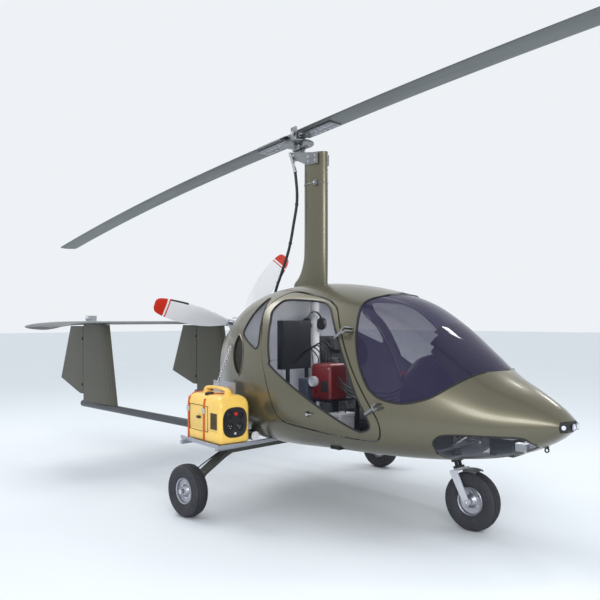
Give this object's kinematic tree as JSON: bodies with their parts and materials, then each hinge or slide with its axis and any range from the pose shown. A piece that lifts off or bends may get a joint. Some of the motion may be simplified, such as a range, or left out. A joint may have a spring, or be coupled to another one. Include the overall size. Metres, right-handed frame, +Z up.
{
  "type": "gyrocopter",
  "caption": "Enclosed two-seat gyrocopter on its wheels: pod fuselage with doors, teetering rotor, pusher propeller, twin boom tail and a generator on a side rack.",
  "frame": {"origin": "on the ground, midway along the rotor and midway across the wheels, below the rotor hub", "axes": "+X to the nose, +Y to port, +Z up"},
  "size_m": [8.7452, 2.2, 2.9206],
  "materials": {
    "body_paint": "satin",
    "window": "clear",
    "lamp": "gloss",
    "bright_metal": "satin",
    "black_metal": "satin",
    "black_plastic": "matte",
    "upholstery": "woven",
    "red_plastic": "gloss",
    "engine_metal": "rough cast",
    "propeller_paint": "gloss, with red tips",
    "rotor_paint": "satin grey",
    "lamp_lens": "gloss",
    "hose": "matte, braided",
    "boom_paint": "satin",
    "fork_paint": "gloss",
    "tyre": "ribbed",
    "generator_paint": "gloss"
  },
  "bodies": {
    "airframe": {"fuselage_shell": "body_paint", "windshield": "window", "fixed_windows": "window", "nose_lamp": "lamp", "tow_eye": "bright_metal", "hinge_brackets": "bright_metal", "cabin_floor": "black_plastic", "firewall": "bright_metal", "seat_frame": "black_metal", "seat_cushions": "upholstery", "instrument_panel": "black_plastic", "cockpit_controls": "black_metal", "equipment_rack": "black_metal", "sensor_unit": "red_plastic", "engine": "engine_metal", "mast": "body_paint", "rotor_head_plates": "bright_metal", "prerotator_hose": "hose", "tail_booms": "boom_paint", "fins": "body_paint", "stabilizer": "rotor_paint", "tail_lamps": "lamp_lens", "main_gear_leg": "body_paint", "main_axles": "bright_metal", "nose_strut": "black_metal", "generator_tray": "bright_metal", "generator": "generator_paint", "tie_down_chain": "bright_metal"},
    "door_right": {"door_right": "body_paint", "door_right_window": "window", "door_right_hinges": "bright_metal"},
    "door_left": {"door_left": "body_paint", "door_left_window": "window", "door_left_hinges": "bright_metal"},
    "rotor_gimbal": {"rotor_gimbal": "bright_metal"},
    "bearing_block": {"bearing_block": "bright_metal"},
    "rotor_hub": {"rotor_tower": "bright_metal"},
    "rotor": {"hub_bar": "bright_metal", "rotor_blades": "rotor_paint"},
    "propeller": {"propeller_hub": "bright_metal", "propeller_blades": "propeller_paint"},
    "rudder_left": {"rudder_left": "body_paint"},
    "rudder_right": {"rudder_right": "body_paint"},
    "main_wheel_left": {"main_tyre_left": "tyre", "main_rim_left": "bright_metal"},
    "main_wheel_right": {"main_tyre_right": "tyre", "main_rim_right": "bright_metal"},
    "nose_fork": {"nose_fork": "fork_paint"},
    "nose_wheel": {"nose_tyre": "tyre", "nose_rim": "bright_metal"}
  },
  "joints": [
    {"name": "door_right_swing", "type": "hinge", "parent": "airframe", "child": "door_right", "pos_m": [1.12136, -0.59992, 1.00402], "axis": [-0.5325, 0.0779, 0.8428], "range_deg": [0, 70]},
    {"name": "door_left_swing", "type": "hinge", "parent": "airframe", "child": "door_left", "pos_m": [1.12136, 0.59992, 1.00402], "axis": [0.5325, 0.0779, -0.8428], "range_deg": [0, 70]},
    {"name": "rotor_pitch", "type": "hinge", "parent": "airframe", "child": "rotor_gimbal", "pos_m": [0.00489, 0, 2.54462], "axis": [0, 1, 0], "range_deg": [-12, 5]},
    {"name": "rotor_roll", "type": "hinge", "parent": "rotor_gimbal", "child": "bearing_block", "pos_m": [0.00188, 0, 2.5805], "axis": [0.9965, 0, 0.0837], "range_deg": [-9, 9]},
    {"name": "rotor_spin", "type": "hinge", "parent": "bearing_block", "child": "rotor_hub", "pos_m": [-0.01, 0, 2.722], "axis": [-0.0837, 0, 0.9965], "continuous": true},
    {"name": "rotor_teeter", "type": "hinge", "parent": "rotor_hub", "child": "rotor", "pos_m": [-0.01, 0, 2.722], "axis": [0.0574, 0.9983, 0.0048], "range_deg": [-6, 6]},
    {"name": "propeller_spin", "type": "hinge", "parent": "airframe", "child": "propeller", "pos_m": [-0.73, 0, 1.25], "axis": [1, 0, 0], "continuous": true},
    {"name": "nose_steering", "type": "hinge", "parent": "airframe", "child": "nose_fork", "pos_m": [1.448, 0, 0.3625], "axis": [-0.2756, 0, 0.9613], "range_deg": [-25, 25]},
    {"name": "nose_wheel_spin", "type": "hinge", "parent": "nose_fork", "child": "nose_wheel", "pos_m": [1.541, 0, 0.1825], "axis": [0, 1, 0], "continuous": true},
    {"name": "rudder_left_turn", "type": "hinge", "parent": "airframe", "child": "rudder_left", "pos_m": [-2.187, 0.62, 0.9], "axis": [0, 0, 1], "range_deg": [-25, 25]},
    {"name": "rudder_right_turn", "type": "hinge", "parent": "airframe", "child": "rudder_right", "pos_m": [-2.187, -0.62, 0.9], "axis": [0, 0, 1], "range_deg": [-25, 25]},
    {"name": "main_wheel_left_spin", "type": "hinge", "parent": "airframe", "child": "main_wheel_left", "pos_m": [-0.01, 1, 0.1725], "axis": [0, 1, 0], "continuous": true},
    {"name": "main_wheel_right_spin", "type": "hinge", "parent": "airframe", "child": "main_wheel_right", "pos_m": [-0.01, -1, 0.1725], "axis": [0, 1, 0], "continuous": true}
  ],
  "couplings": [
    {"joint": "rudder_left_turn", "follows": "nose_steering", "ratio": -1},
    {"joint": "rudder_right_turn", "follows": "nose_steering", "ratio": -1}
  ]
}
